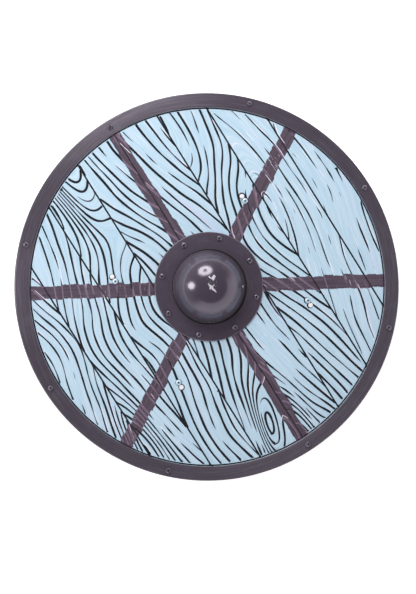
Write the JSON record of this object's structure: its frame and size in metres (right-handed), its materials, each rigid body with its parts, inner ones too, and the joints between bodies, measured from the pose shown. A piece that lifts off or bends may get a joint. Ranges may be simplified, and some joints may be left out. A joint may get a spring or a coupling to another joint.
{
  "type": "wooden round shield",
  "caption": "Round shield of painted planks with a dark steel rim, a domed boss and two leather arm straps, lying face up.",
  "frame": {"origin": "below the centre of the shield, on the plane that the undersides of the arm straps rest on", "axes": "+Z out of the painted face, +Y along the planks, +X across them"},
  "size_m": [0.61, 0.61, 0.0939],
  "materials": {
    "painted_boards": "pale blue paint over carved grain, worn satin, bare wood behind",
    "dark_steel": "satin dark purple-grey",
    "blue_painted_steel": "the pale blue of the boards over a steel head",
    "plated_steel": "bright nickel plate",
    "strap_leather": "dark brown, lightly worn"
  },
  "bodies": {
    "root": {"plank_left_4": "painted_boards", "plank_left_3": "painted_boards", "plank_left_2": "painted_boards", "plank_left_1": "painted_boards", "plank_right_1": "painted_boards", "plank_right_2": "painted_boards", "plank_right_3": "painted_boards", "plank_right_4": "painted_boards", "rim": "dark_steel", "boss": "dark_steel", "rim_rivet_1": "dark_steel", "rim_rivet_2": "dark_steel", "rim_rivet_3": "dark_steel", "rim_rivet_4": "dark_steel", "rim_rivet_5": "dark_steel", "rim_rivet_6": "dark_steel", "rim_rivet_7": "dark_steel", "rim_rivet_8": "dark_steel", "boss_rivet_1": "dark_steel", "boss_rivet_2": "dark_steel", "boss_rivet_3": "dark_steel", "boss_rivet_4": "dark_steel", "boss_rivet_5": "dark_steel", "boss_rivet_6": "dark_steel", "boss_rivet_7": "dark_steel", "boss_rivet_8": "dark_steel", "strap_rivet_1": "blue_painted_steel", "strap_rivet_2": "blue_painted_steel", "strap_rivet_3": "blue_painted_steel", "strap_rivet_4": "blue_painted_steel", "plated_rivet_1": "plated_steel", "plated_rivet_2": "plated_steel", "plated_rivet_3": "plated_steel", "plated_rivet_4": "plated_steel", "arm_strap_left": "strap_leather", "arm_strap_right": "strap_leather"}
  },
  "joints": []
}
